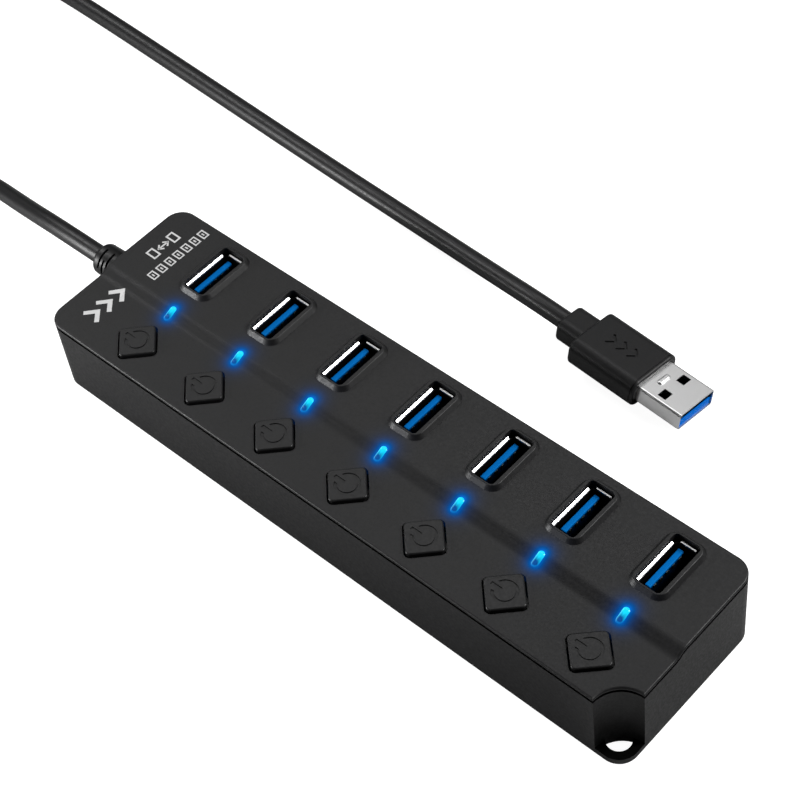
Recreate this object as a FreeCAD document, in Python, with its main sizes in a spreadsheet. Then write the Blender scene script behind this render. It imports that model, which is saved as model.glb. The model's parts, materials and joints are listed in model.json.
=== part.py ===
"""USB hub with seven switched ports, its lead and its plug.

Frame: millimetres, +Z up, origin on the surface the hub stands on, below the middle of the case.
+X runs from the cord end to the lanyard end, +Y from the buttons to the ports.
"""
import FreeCAD, Part
import Sketcher
import math
import os

from FreeCAD import Placement, Rotation, Vector

doc = FreeCAD.newDocument("usb_hub")
sheet = doc.addObject("Spreadsheet::Sheet", "dims")

DIMENSIONS = [
    # case
    ("hub_length", 165.0),
    ("hub_width", 43.0),
    ("corner_radius", 4.5),
    ("foot_proud", 1.0),
    ("low_top", 21.1),
    ("step_rise", 1.1),
    ("step_start", 5.2),
    ("step_end", 1.2),
    ("wall", 2.0),
    ("floor_thick", 2.0),
    ("plate_thick", 1.8),
    ("cover_edge", 0.6),
    ("groove_height", 0.8),
    ("groove_depth", 0.9),
    ("edge_round", 0.45),
    ("lip_gap", 0.15),
    ("lip_thick", 1.2),
    ("lip_drop", 4.0),
    ("notch_radius", 7.0),
    ("tab_thick", 1.6),
    ("lanyard_radius", 2.8),
    ("lanyard_reach", 4.67),
    # ports
    ("port_first", -60.3),
    ("port_pitch", 21.45),
    ("port_row", 11.0),
    ("rim_width", 9.9),
    ("rim_depth", 16.7),
    ("rim_radius", 3.0),
    ("rim_height", 1.1),
    ("rim_slant", 36.0),
    ("rim_root", 0.2),
    ("rim_round", 0.3),
    ("mouth_width", 6.4),
    ("mouth_depth", 14.0),
    ("mouth_radius", 0.9),
    ("shell_width", 5.7),
    ("shell_depth", 13.2),
    ("shell_radius", 1.0),
    ("shell_wall", 0.35),
    ("shell_drop", 0.8),
    ("lip_sink", 0.1),
    ("long_lip_width", 0.5),
    ("long_lip_length", 11.4),
    ("long_lip_thick", 0.2),
    ("long_lip_slope", 37.0),
    ("long_lip_middle", 2.83),
    ("long_lip_top", 22.08),
    ("short_lip_length", 3.8),
    ("tongue_width", 1.35),
    ("tongue_depth", 11.1),
    ("tongue_offset", 0.85),
    ("tongue_drop", 1.2),
    ("base_height", 1.0),
    # buttons and switches
    ("button_row", -13.5),
    ("button_side", 8.15),
    ("button_radius", 1.0),
    ("button_proud", 0.8),
    ("button_gap", 0.4),
    ("flange_length", 12.4),
    ("flange_width", 4.0),
    ("flange_shift", 1.0),
    ("flange_thick", 1.0),
    ("flange_clear", 0.1),
    ("socket_radius", 2.6),
    ("socket_bottom", 14.5),
    ("symbol_radius", 2.9),
    ("symbol_line", 0.75),
    ("symbol_deep", 0.2),
    ("housing_side", 7.0),
    ("housing_height", 4.0),
    ("plunger_side", 3.0),
    ("plunger_bottom", 11.4),
    ("plunger_top", 17.4),
    # light guides
    ("lens_row", -3.3),
    ("lens_width", 1.5),
    ("lens_depth", 3.6),
    ("lens_proud", 0.35),
    ("lens_bottom", 10.0),
    # board
    ("board_bottom", 7.1),
    ("board_thick", 1.6),
    ("board_length", 156.0),
    ("board_width", 37.0),
    # fasteners
    ("screw_end", 76.2),
    ("screw_side", 15.5),
    ("screw_notch_side", 7.5),
    ("screw_radius", 1.1),
    ("screw_length", 14.0),
    ("pilot_depth", 8.0),
    ("head_radius", 2.0),
    ("head_height", 1.4),
    ("post_radius", 2.6),
    ("foot_radius", 4.5),
    ("foot_recess", 0.6),
    ("foot_end", 68.0),
    ("foot_side", 14.0),
    # cord and strain relief
    ("cord_width", 4.6),
    ("cord_row", 4.5),
    ("cord_height", 11.5),
    ("relief_length", 11.6),
    ("relief_radius", 4.3),
    ("relief_tip_radius", 3.9),
    ("relief_neck_radius", 3.0),
    ("slot_first", 2.95),
    ("slot_pitch", 1.25),
    ("slot_width", 0.65),
    ("slot_deep", 1.0),
    ("cord_lead", 8.5),
    ("coil_x", -214.5),
    ("coil_y", 26.5),
    ("coil_radius", 28.0),
    ("coil_nest", 2.4),
    ("coil_top", 8.6),
    ("tie_width", 10.0),
    ("tie_thick", 0.8),
    # plug
    ("plug_x", 28.43),
    ("plug_y", 58.23),
    ("plug_height", 4.55),
    ("plug_yaw", -2.2),
    ("plug_pitch", 3.0),
    ("plug_roll", -9.0),
    ("plug_shell_width", 12.0),
    ("plug_shell_thick", 4.5),
    ("plug_shell_wall", 0.3),
    ("plug_shell_out", 12.0),
    ("plug_shell_in", 5.0),
    ("insert_thick", 1.85),
    ("window_length", 2.2),
    ("window_width", 2.7),
    ("window_place", 5.45),
    ("window_row", 3.25),
    ("insert_recess", 0.35),
    ("dimple_place", 2.4),
    ("dimple_length", 3.8),
    ("dimple_width", 1.4),
    ("dimple_proud", 0.45),
    ("grip_length", 19.0),
    ("grip_width", 15.6),
    ("grip_thick", 7.4),
    ("grip_round", 2.6),
    ("line_back", 0.95),
    ("line_width", 0.25),
    ("line_deep", 0.15),
    ("mark_start", 5.6),
    ("mark_pitch", 3.1),
    ("mark_reach", 1.7),
    ("mark_line", 0.6),
    ("mark_deep", 0.3),
    ("neck_length", 6.5),
    ("neck_width", 9.0),
    ("neck_thick", 6.2),
]

for row, (alias, number) in enumerate(DIMENSIONS, start=1):
    sheet.set("A%d" % row, alias)
    sheet.set("B%d" % row, str(number))
    sheet.setAlias("B%d" % row, alias)
doc.recompute()

PORTS = range(7)
finished = []


# ---------------------------------------------------------------- helpers

def size(expression):
    """The number that an expression in the sheet's dimensions comes to."""
    return float(sheet.evalExpression(str(expression)))


def move(item, x="0", y="0", z="0"):
    """Bind an object's position to three expressions."""
    for axis, text in zip("xyz", (x, y, z)):
        item.setExpression("Placement.Base." + axis, str(text))
    return item


def finish(item, node):
    """Name a sub-part after its node and keep it for the export."""
    item.Label = node
    finished.append(item)
    return item


def box(name, length, width, height, x="0", y="0", z="0"):
    """A block standing on z, centred on x and y."""
    item = doc.addObject("Part::Box", name)
    item.setExpression("Length", str(length))
    item.setExpression("Width", str(width))
    item.setExpression("Height", str(height))
    return move(item, "%s - (%s) / 2" % (x, length), "%s - (%s) / 2" % (y, width), z)


def cylinder(name, radius, height, x="0", y="0", z="0", along="z"):
    """A round bar that starts at the point and runs along +Z, +X or +Y."""
    item = doc.addObject("Part::Cylinder", name)
    item.setExpression("Radius", str(radius))
    item.setExpression("Height", str(height))
    turns = {"z": Rotation(), "x": Rotation(Vector(0, 1, 0), 90), "y": Rotation(Vector(1, 0, 0), -90)}
    item.Placement = Placement(Vector(), turns[along])
    return move(item, x, y, z)


def join(name, *items):
    item = doc.addObject("Part::MultiFuse", name)
    item.Shapes = list(items)
    item.Refine = True
    return item


def cut(name, base, *tools):
    item = doc.addObject("Part::Cut", name)
    item.Base = base
    item.Tool = tools[0] if len(tools) == 1 else join(name + "_tools", *tools)
    item.Refine = True
    return item


def overlap(name, first, second):
    item = doc.addObject("Part::Common", name)
    item.Base = first
    item.Tool = second
    item.Refine = True
    return item


def group(name, items):
    item = doc.addObject("Part::Compound", name)
    item.Links = list(items)
    return item


def new_sketch(body, name, role):
    sketch = body.newObject("Sketcher::SketchObject", name)
    plane = next(part for part in body.Origin.OriginFeatures if part.Role == role)
    sketch.AttachmentSupport = [(plane, "")]
    sketch.MapMode = "FlatFace"
    return sketch


def dimension(sketch, name, expression, kind, *points):
    """Add a named size constraint bound to an expression."""
    index = sketch.addConstraint(Sketcher.Constraint(kind, *points, size(expression)))
    sketch.renameConstraint(index, name)
    sketch.setExpression("Constraints." + name, str(expression))


def relate(sketch, *rules):
    for rule in rules:
        sketch.addConstraint(Sketcher.Constraint(*rule))


def rounded_outline(sketch, width, depth, radius):
    """A rectangle with round corners, centred on the sketch's origin."""
    half_width, half_depth, corner = size(width) / 2, size(depth) / 2, size(radius)
    centres = [(1, 1), (-1, 1), (-1, -1), (1, -1)]
    arcs = []
    for quarter, (side, end) in enumerate(centres):
        middle = Vector(side * (half_width - corner), end * (half_depth - corner), 0)
        circle = Part.Circle(middle, Vector(0, 0, 1), corner)
        start = quarter * math.pi / 2
        arcs.append(Part.ArcOfCircle(circle, start, start + math.pi / 2))
    lines = [Part.LineSegment(arcs[k].EndPoint, arcs[(k + 1) % 4].StartPoint) for k in range(4)]
    sketch.addGeometry(arcs + lines, False)
    for k in range(4):
        relate(sketch, ("Tangent", k, 2, 4 + k, 1), ("Tangent", 4 + k, 2, (k + 1) % 4, 1))
    relate(sketch, ("Horizontal", 4), ("Vertical", 5), ("Horizontal", 6), ("Vertical", 7))
    relate(sketch, ("Equal", 0, 1), ("Equal", 1, 2), ("Equal", 2, 3), ("Symmetric", 0, 3, 2, 3, -1, 1))
    dimension(sketch, "radius", radius, "Radius", 0)
    dimension(sketch, "width", width, "DistanceX", 5, 1, 7, 1)
    dimension(sketch, "depth", depth, "DistanceY", 6, 1, 4, 1)


def rounded_block(name, width, depth, radius, height, x="0", y="0", z="0", turn=0, slant=None):
    """A padded rectangle with round upright corners, standing on z and centred on x and y."""
    body = doc.addObject("PartDesign::Body", name)
    sketch = new_sketch(body, name + "_outline", "XY_Plane")
    rounded_outline(sketch, width, depth, radius)
    pad = body.newObject("PartDesign::Pad", name + "_pad")
    pad.Profile = sketch
    pad.setExpression("Length", str(height))
    if slant:
        pad.setExpression("TaperAngle", "-(%s)" % slant)
    sketch.Visibility = False
    body.Placement = Placement(Vector(), Rotation(Vector(0, 0, 1), turn))
    return move(body, x, y, z)


def edges_at(feature, height, level=1e-3):
    """Names of the edges that lie in one horizontal plane."""
    names = []
    for number, edge in enumerate(feature.Shape.Edges, start=1):
        bounds = edge.BoundBox
        if abs(bounds.ZMin - height) < level and abs(bounds.ZMax - height) < level:
            names.append("Edge%d" % number)
    return names


def round_top(body, radius, height):
    """Round the edges of a body's top face, at a height measured in the body."""
    doc.recompute()
    base = body.Tip
    fillet = body.newObject("PartDesign::Fillet", body.Name + "_round")
    fillet.Base = (base, edges_at(base, size(height)))
    fillet.setExpression("Radius", str(radius))
    return body


def ring(name, outer, inner, height, x="0", y="0", z="0", along="z"):
    """A tube or washer."""
    solid = cylinder(name + "_outer", outer, height, x, y, z, along)
    hole = cylinder(name + "_inner", inner, height, x, y, z, along)
    return cut(name, solid, hole)


def port_x(index):
    return "dims.port_first + %d * dims.port_pitch" % index


# ---------------------------------------------------------------- case outlines

CORNER_X = "dims.hub_length / 2"
CORNER_Y = "-dims.hub_width / 2"
BOARD_TOP = "dims.board_bottom + dims.board_thick"
HIGH_TOP = "dims.low_top + dims.step_rise"


def stepped_block(name, drop="0"):
    """All the space below the cover's top surface, lowered by drop: low, an S-shaped step, high."""
    body = doc.addObject("PartDesign::Body", name)
    sketch = new_sketch(body, name + "_profile", "YZ_Plane")
    half = size("dims.hub_width / 2 + 1")
    low, rise = size("dims.low_top - (%s)" % drop), size("dims.step_rise")
    start, end = -size("dims.step_start"), -size("dims.step_end")
    run = end - start
    bend = (run ** 2 + rise ** 2) / (4 * rise)
    swing = math.asin(run / 2 / bend)
    up = Vector(0, 0, 1)
    crest = Part.Circle(Vector(end, low + rise - bend, 0), up, bend)
    hollow = Part.Circle(Vector(start, low + bend, 0), up, bend)
    corner = [Vector(-half, 0, 0), Vector(half, 0, 0), Vector(half, low + rise, 0)]
    sketch.addGeometry([
        Part.LineSegment(corner[0], corner[1]),
        Part.LineSegment(corner[1], corner[2]),
        Part.LineSegment(corner[2], Vector(end, low + rise, 0)),
        Part.ArcOfCircle(crest, math.pi / 2, math.pi / 2 + swing),
        Part.ArcOfCircle(hollow, 3 * math.pi / 2, 3 * math.pi / 2 + swing),
        Part.LineSegment(Vector(start, low, 0), Vector(-half, low, 0)),
        Part.LineSegment(Vector(-half, low, 0), corner[0]),
    ], False)
    relate(sketch, ("Coincident", 0, 2, 1, 1), ("Coincident", 1, 2, 2, 1), ("Coincident", 5, 2, 6, 1))
    relate(sketch, ("Coincident", 6, 2, 0, 1), ("Tangent", 2, 2, 3, 1), ("Tangent", 3, 2, 4, 2))
    relate(sketch, ("Tangent", 4, 1, 5, 1), ("Equal", 3, 4), ("PointOnObject", 0, 1, -1))
    relate(sketch, ("Horizontal", 0), ("Vertical", 1), ("Horizontal", 2), ("Horizontal", 5), ("Vertical", 6))
    dimension(sketch, "left", "dims.hub_width / 2 + 1", "DistanceX", 0, 1, -1, 1)
    dimension(sketch, "across", "dims.hub_width + 2", "DistanceX", 0, 1, 0, 2)
    dimension(sketch, "low", "dims.low_top - (%s)" % drop, "DistanceY", 6, 2, 6, 1)
    dimension(sketch, "high", "dims.low_top + dims.step_rise - (%s)" % drop, "DistanceY", 1, 1, 1, 2)
    dimension(sketch, "start", "dims.step_start", "DistanceX", 4, 1, -1, 1)
    dimension(sketch, "end", "dims.step_end", "DistanceX", 3, 1, -1, 1)
    pad = body.newObject("PartDesign::Pad", name + "_pad")
    pad.Profile = sketch
    pad.SideType = "Symmetric"
    pad.setExpression("Length", "dims.hub_length + 2")
    return body


def outline(name, inset, bottom, height):
    """The case's plan shape drawn in by inset, with the corner bite drawn back by the same amount."""
    block = rounded_block(name + "_block", "dims.hub_length - 2 * (%s)" % inset,
                          "dims.hub_width - 2 * (%s)" % inset, "dims.corner_radius - (%s)" % inset,
                          height, z=bottom)
    bite = cylinder(name + "_bite", "dims.notch_radius + (%s)" % inset, "(%s) + 2" % height,
                    CORNER_X, CORNER_Y, "(%s) - 1" % bottom)
    return cut(name, block, bite)


# ---------------------------------------------------------------- top cover

SEAT = "dims.cover_edge + dims.groove_height"
LIP_INSET = "dims.wall + dims.lip_gap"
SCREWS = [
    ("-dims.screw_end", "dims.screw_side"),
    ("-dims.screw_end", "-dims.screw_side"),
    ("dims.screw_end", "dims.screw_side"),
    ("dims.screw_end", "-dims.screw_notch_side"),
]


def cover_layer(name, inset, top_drop, bottom_drop):
    """One layer of the cover, between two drops below its top surface."""
    plan = outline(name + "_plan", inset, "10", "20")
    band = cut(name + "_band", stepped_block(name + "_above", top_drop),
               stepped_block(name + "_below", bottom_drop))
    return overlap(name, plan, band)


def surface_height(y):
    """Roughly the height of the cover's top surface: the S-shaped step is taken as straight."""
    start, end = -size("dims.step_start"), -size("dims.step_end")
    share = min(max((y - start) / (end - start), 0.0), 1.0)
    return size("dims.low_top") + share * size("dims.step_rise")


def top_edges(shape):
    """Numbers of the edges round the top surface: those that follow the case's outline or its bite."""
    half_x, half_y = size("dims.hub_length / 2"), size("dims.hub_width / 2")
    corner, bite = size("dims.corner_radius"), size("dims.notch_radius")

    def on_outline(p):
        past_x, past_y = abs(p.x) - half_x + corner, abs(p.y) - half_y + corner
        turned = past_x > -1e-3 and past_y > -1e-3 and abs(math.hypot(past_x, past_y) - corner) < 1e-3
        straight = abs(past_x - corner) < 1e-3 or abs(past_y - corner) < 1e-3
        bitten = abs(math.hypot(p.x - half_x, p.y + half_y) - bite) < 1e-3
        return turned or straight or bitten

    found = []
    for number, edge in enumerate(shape.Edges, start=1):
        span = edge.LastParameter - edge.FirstParameter
        spots = [edge.valueAt(edge.FirstParameter + share * span) for share in (0.0, 0.5, 1.0)]
        if all(on_outline(p) and p.z > surface_height(p.y) - 0.3 for p in spots):
            found.append(number)
    return found


def make_top_cover():
    edge = cover_layer("cover_edge_layer", "0", "0", "dims.cover_edge")
    doc.recompute()
    rounded = doc.addObject("Part::Fillet", "cover_edge_rounded")
    rounded.Base = edge
    radius = size("dims.edge_round")
    rounded.Edges = [(number, radius, radius) for number in top_edges(edge.Shape)]
    groove = cover_layer("cover_groove_layer", "dims.groove_depth", "dims.cover_edge / 2", SEAT)
    plate = cover_layer("cover_plate_layer", LIP_INSET, "dims.cover_edge / 2", "dims.plate_thick")
    lip_block = cover_layer("cover_lip_block", LIP_INSET, "dims.cover_edge / 2", "dims.lip_drop")
    lip_room = outline("cover_lip_room", LIP_INSET + " + dims.lip_thick", "5", "30")
    lip = cut("cover_lip", lip_block, lip_room)
    solids = [rounded, groove, plate, lip]
    holes = []
    for index in PORTS:
        x = port_x(index)
        rim = rounded_block("rim_%d" % (index + 1), "dims.rim_width", "dims.rim_depth", "dims.rim_radius",
                            "dims.rim_height + dims.rim_root", x, "dims.port_row",
                            HIGH_TOP + " - dims.rim_root", slant="dims.rim_slant")
        solids.append(round_top(rim, "dims.rim_round", "dims.rim_height + dims.rim_root"))
        holes.append(rounded_block("mouth_%d" % (index + 1), "dims.mouth_width", "dims.mouth_depth",
                                   "dims.mouth_radius", "12", x, "dims.port_row", "14"))
        opening = "dims.button_side + 2 * dims.button_gap"
        holes.append(rounded_block("button_hole_%d" % (index + 1), opening, opening,
                                   "dims.button_radius + dims.button_gap", "12", x, "dims.button_row", "14",
                                   turn=45))
        holes.append(rounded_block("lens_hole_%d" % (index + 1), "dims.lens_width + 0.1",
                                   "dims.lens_depth + 0.1", "dims.lens_width / 2 + 0.04", "12", x,
                                   "dims.lens_row", "14"))
    for index, (x, y) in enumerate(SCREWS):
        solids.append(cylinder("boss_%d" % index, "dims.post_radius - 0.2",
                               "dims.low_top - 0.5 - (%s) - 0.1" % BOARD_TOP, x, y, BOARD_TOP + " + 0.1"))
        holes.append(cylinder("pilot_%d" % index, "dims.screw_radius", "dims.pilot_depth", x, y,
                              BOARD_TOP))
    finish(cut("top_cover_solid", join("top_cover_blank", *solids), *holes), "top_cover")


# ---------------------------------------------------------------- bottom case

def make_bottom_case():
    tub = rounded_block("case_block", "dims.hub_length", "dims.hub_width", "dims.corner_radius", "24",
                        z="dims.foot_proud")
    stepped = overlap("case_stepped", tub, stepped_block("case_below_seat", SEAT))
    bite = cylinder("case_bite", "dims.notch_radius", "30", CORNER_X, CORNER_Y,
                    "dims.foot_proud + dims.tab_thick")
    room = outline("case_room", "dims.wall", "dims.foot_proud + dims.floor_thick", "30")
    relief_hole = cylinder("relief_hole", "dims.relief_neck_radius + 0.1", "dims.wall + 2",
                           "-dims.hub_length / 2 - 1", "dims.cord_row", "dims.cord_height", "x")
    hole_round = cylinder("lanyard_round", "dims.lanyard_radius", "dims.tab_thick + 2",
                          CORNER_X + " - dims.lanyard_reach", CORNER_Y + " + dims.lanyard_reach",
                          "dims.foot_proud - 1")
    hole_limit = cylinder("lanyard_limit", "dims.notch_radius", "dims.tab_thick + 2", CORNER_X, CORNER_Y,
                          "dims.foot_proud - 1")
    lanyard = overlap("lanyard_hole", hole_round, hole_limit)
    shell = cut("case_shell", stepped, bite, room, relief_hole, lanyard)
    support_height = "dims.board_bottom - dims.foot_proud - 1"
    posts, holes = [], []
    for index, (x, y) in enumerate(SCREWS):
        posts.append(cylinder("post_%d" % index, "dims.post_radius", support_height, x, y,
                              "dims.foot_proud + 1"))
        holes.append(cylinder("post_hole_%d" % index, "dims.screw_radius + 0.1", "20", x, y, "0"))
        holes.append(cylinder("post_sink_%d" % index, "dims.head_radius + 0.2",
                              "dims.head_height + 0.2 + 1", x, y, "dims.foot_proud - 1"))
    for index in range(6):
        x = "dims.port_first + (%d + 0.5) * dims.port_pitch" % index
        posts.append(box("board_rib_%d" % index, "1.2", "30", support_height, x, "0",
                         "dims.foot_proud + 1"))
    for index, (end, side) in enumerate(((-1, -1), (-1, 1), (1, -1), (1, 1))):
        holes.append(cylinder("foot_seat_%d" % index, "dims.foot_radius", "dims.foot_recess + 1",
                              "%d * dims.foot_end" % end, "%d * dims.foot_side" % side,
                              "dims.foot_proud - 1"))
    finish(cut("bottom_case_solid", join("case_with_posts", shell, *posts), *holes), "bottom_case")


def make_feet():
    feet = []
    for index, (end, side) in enumerate(((-1, -1), (-1, 1), (1, -1), (1, 1))):
        feet.append(cylinder("foot_%d" % index, "dims.foot_radius - 0.1",
                             "dims.foot_proud + dims.foot_recess", "%d * dims.foot_end" % end,
                             "%d * dims.foot_side" % side))
    finish(group("feet", feet), "rubber_feet")


def make_screws():
    screws = []
    for index, (x, y) in enumerate(SCREWS):
        seat = "dims.foot_proud + 0.2"
        head = cylinder("screw_head_%d" % index, "dims.head_radius", "dims.head_height", x, y, seat)
        shank = cylinder("screw_shank_%d" % index, "dims.screw_radius - 0.05", "dims.screw_length", x, y,
                         seat)
        across = box("screw_slot_%da" % index, "2.4", "0.6", "0.8", x, y, seat)
        down = box("screw_slot_%db" % index, "0.6", "2.4", "0.8", x, y, seat)
        screws.append(cut("screw_%d" % index, join("screw_blank_%d" % index, head, shank), across, down))
    finish(group("screws", screws), "case_screws")


# ---------------------------------------------------------------- circuit board

def make_board():
    blank = rounded_block("board_blank", "dims.board_length", "dims.board_width", "1.5", "dims.board_thick",
                          z="dims.board_bottom")
    tools = [cylinder("board_bite", "dims.notch_radius + dims.wall + 0.6", "10", CORNER_X, CORNER_Y, "4")]
    for index, (x, y) in enumerate(SCREWS):
        tools.append(cylinder("board_hole_%d" % index, "dims.screw_radius + 0.2", "10", x, y, "4"))
    finish(cut("board", blank, *tools), "circuit_board")

    chips, passives, lights = [], [], []
    for index, x in enumerate(("-17.4", "25.5")):
        chips.append(box("chip_%d" % index, "7", "7", "0.9", x, "0.2", "dims.board_bottom - 0.9"))
        passives.append(box("crystal_%d" % index, "3.2", "2.5", "0.8", x + " + 8", "0.2",
                            "dims.board_bottom - 0.8"))
    for index in PORTS:
        x = port_x(index)
        passives.append(cylinder("capacitor_%d" % index, "2.0", "5.4", x + " - 7.5", "-4.5", BOARD_TOP))
        passives.append(box("resistor_%d" % index, "1.0", "0.5", "0.4", x + " - 4", "-4.5", BOARD_TOP))
        lights.append(box("light_%d" % index, "1.25", "2.0", "0.8", x, "dims.lens_row", BOARD_TOP))
    finish(group("chips", chips), "hub_controllers")
    finish(group("passives", passives), "board_components")
    finish(group("lights", lights), "indicator_leds")


# ---------------------------------------------------------------- ports

def sloping_lip(name, x):
    """The long lip of the port at x: a flat strip turned about its length to face the far side and up."""
    width, thick = size("dims.long_lip_width"), size("dims.long_lip_thick")
    turn = Rotation(Vector(0, 1, 0), size("dims.long_lip_slope"))
    corner = turn.multVec(Vector(-width / 2, 0, -thick))
    item = doc.addObject("Part::Box", name)
    item.setExpression("Length", "dims.long_lip_width")
    item.setExpression("Width", "dims.long_lip_length")
    item.setExpression("Height", "dims.long_lip_thick")
    item.Placement = Placement(Vector(), turn)
    return move(item, "%s - dims.long_lip_middle + (%.4f)" % (x, corner.x),
                "dims.port_row - 0.4 - dims.long_lip_length / 2", "dims.long_lip_top + (%.4f)" % corner.z)


def make_ports():
    shell_height = HIGH_TOP + " - dims.shell_drop - (%s)" % BOARD_TOP
    lip_height = "dims.shell_drop - dims.lip_sink + 0.3"
    lip_foot = HIGH_TOP + " - dims.shell_drop - 0.3"
    contacts = []
    for index in PORTS:
        x, number = port_x(index), index + 1
        sleeve = rounded_block("sleeve_%d" % number, "dims.shell_width", "dims.shell_depth",
                               "dims.shell_radius", shell_height, x, "dims.port_row", BOARD_TOP)
        bore = rounded_block("sleeve_bore_%d" % number, "dims.shell_width - 2 * dims.shell_wall",
                             "dims.shell_depth - 2 * dims.shell_wall", "dims.shell_radius - dims.shell_wall",
                             shell_height, x, "dims.port_row", BOARD_TOP)
        tube_wall = cut("shell_tube_%d" % number, sleeve, bore)
        # two sides of the sleeve stand higher, and the long one is bent out into a sloping lip
        side_x = x + " - dims.shell_width / 2 + dims.shell_wall / 2"
        side_y = "dims.port_row + dims.shell_depth / 2 - dims.shell_wall / 2"
        web = box("long_web_%d" % number, "dims.shell_wall", "dims.long_lip_length",
                  lip_height + " - 0.2", side_x, "dims.port_row - 0.4", lip_foot)
        lip = sloping_lip("long_lip_%d" % number, x)
        end = box("short_web_%d" % number, "dims.short_lip_length", "dims.shell_wall", lip_height,
                  x + " + 0.3", side_y, lip_foot)
        finish(join("shell_%d" % number, tube_wall, web, lip, end), "port_shell_%d" % number)

        base = rounded_block("tongue_base_%d" % number, "dims.shell_width - 2 * dims.shell_wall",
                             "dims.shell_depth - 2 * dims.shell_wall", "dims.shell_radius - dims.shell_wall",
                             "dims.base_height", x, "dims.port_row", BOARD_TOP)
        blade_x = x + " - dims.tongue_offset"
        blade_top = HIGH_TOP + " - dims.tongue_drop"
        blade_foot = BOARD_TOP + " + dims.base_height"
        blade_height = "%s - (%s) + 0.5" % (blade_top, blade_foot)
        blade = rounded_block("tongue_blade_%d" % number, "dims.tongue_width", "dims.tongue_depth", "0.3",
                              blade_height, blade_x, "dims.port_row", blade_foot + " - 0.5")
        round_top(blade, "0.25", blade_height)
        finish(join("tongue_%d" % number, base, blade), "port_insulator_%d" % number)

        face = blade_x + " + dims.tongue_width / 2 + 0.075"
        for slot in range(4):
            y = "dims.port_row + %.1f" % ((-3.5, -1.0, 1.0, 3.5)[slot])
            contacts.append(box("contact_%d_%d" % (number, slot), "0.15", "1.0", "6.0", face, y,
                                blade_foot))
        for slot in range(5):
            y = "dims.port_row + %d * 2" % (slot - 2)
            contacts.append(box("fast_contact_%d_%d" % (number, slot), "0.15", "0.8", "1.2", face, y,
                                blade_top + " - 1.8"))
    finish(group("contacts", contacts), "port_contacts")


# ---------------------------------------------------------------- buttons, switches, light guides

def make_buttons():
    cap_top = "dims.low_top + dims.button_proud"
    flange_top = "dims.low_top - dims.plate_thick - dims.flange_clear"
    flange_foot = flange_top + " - dims.flange_thick"
    for index in PORTS:
        x, number = port_x(index), index + 1
        cap = rounded_block("cap_%d" % number, "dims.button_side", "dims.button_side", "dims.button_radius",
                            "%s - (%s)" % (cap_top, flange_foot), x, "dims.button_row", flange_foot, turn=45)
        round_top(cap, "0.35", "%s - (%s)" % (cap_top, flange_foot))
        flange = box("flange_%d" % number, "dims.flange_length", "dims.flange_width", "dims.flange_thick",
                     x, "dims.button_row + dims.flange_shift", flange_foot)
        socket = cylinder("socket_%d" % number, "dims.socket_radius",
                          "%s - dims.socket_bottom + 0.2" % flange_foot, x, "dims.button_row",
                          "dims.socket_bottom")
        pocket = box("pocket_%d" % number, "dims.plunger_side + 0.1", "dims.plunger_side + 0.1",
                     "dims.plunger_top - dims.socket_bottom", x, "dims.button_row", "dims.socket_bottom")
        circle = ring("symbol_ring_%d" % number, "dims.symbol_radius",
                      "dims.symbol_radius - dims.symbol_line", "1", x, "dims.button_row",
                      cap_top + " - dims.symbol_deep")
        gap = box("symbol_gap_%d" % number, "2.4", "2.4", "2", x + " - dims.symbol_radius",
                  "dims.button_row", cap_top + " - 1")
        bar = box("symbol_bar_%d" % number, "2.7", "dims.symbol_line", "1",
                  x + " - dims.symbol_radius + 0.7", "dims.button_row", cap_top + " - dims.symbol_deep")
        symbol = join("symbol_%d" % number, cut("symbol_arc_%d" % number, circle, gap), bar)
        blank = join("button_blank_%d" % number, cap, flange, socket)
        finish(cut("button_%d" % number, blank, pocket, symbol), "power_button_%d" % number)

        finish(box("plunger_%d" % number, "dims.plunger_side", "dims.plunger_side",
                   "dims.plunger_top - dims.plunger_bottom", x, "dims.button_row", "dims.plunger_bottom"),
               "switch_plunger_%d" % number)
        housing = box("housing_block_%d" % number, "dims.housing_side", "dims.housing_side",
                      "dims.housing_height", x, "dims.button_row", BOARD_TOP)
        well = box("housing_well_%d" % number, "dims.plunger_side + 0.3", "dims.plunger_side + 0.3",
                   "dims.housing_height", x, "dims.button_row", BOARD_TOP + " + 1")
        finish(cut("housing_%d" % number, housing, well), "switch_housing_%d" % number)


def make_lenses():
    for index in PORTS:
        number = index + 1
        prism = rounded_block("lens_prism_%d" % number, "dims.lens_width", "dims.lens_depth",
                              "dims.lens_width / 2 - 0.01", "20", port_x(index), "dims.lens_row",
                              "dims.lens_bottom")
        surface = stepped_block("lens_surface_%d" % number, "-dims.lens_proud")
        finish(overlap("lens_%d" % number, prism, surface), "led_lens_%d" % number)


# ---------------------------------------------------------------- strain relief, cord and tie

def relief_slot(index, x):
    """A pair of opposite grooves part of the way round the barrel, alternately turned less and more."""
    turn, width = (35, 5.1) if index % 2 else (80, 5.7)
    reach = size("dims.relief_radius + 2")
    hoop = ring("slot_hoop_%d" % index, "dims.relief_radius + 2", "dims.relief_tip_radius - dims.slot_deep",
                "dims.slot_width", x + " - dims.slot_width / 2", "dims.cord_row", "dims.cord_height", "x")
    spin = Rotation(Vector(1, 0, 0), turn)
    middle = Vector(size(x), size("dims.cord_row"), size("dims.cord_height"))
    window = doc.addObject("Part::Box", "slot_window_%d" % index)
    window.Length, window.Width, window.Height = 2, width, 2 * reach
    window.Placement = Placement(middle - spin.multVec(Vector(1, width / 2, reach)), spin)
    return overlap("slot_%d" % index, hoop, window)


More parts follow.
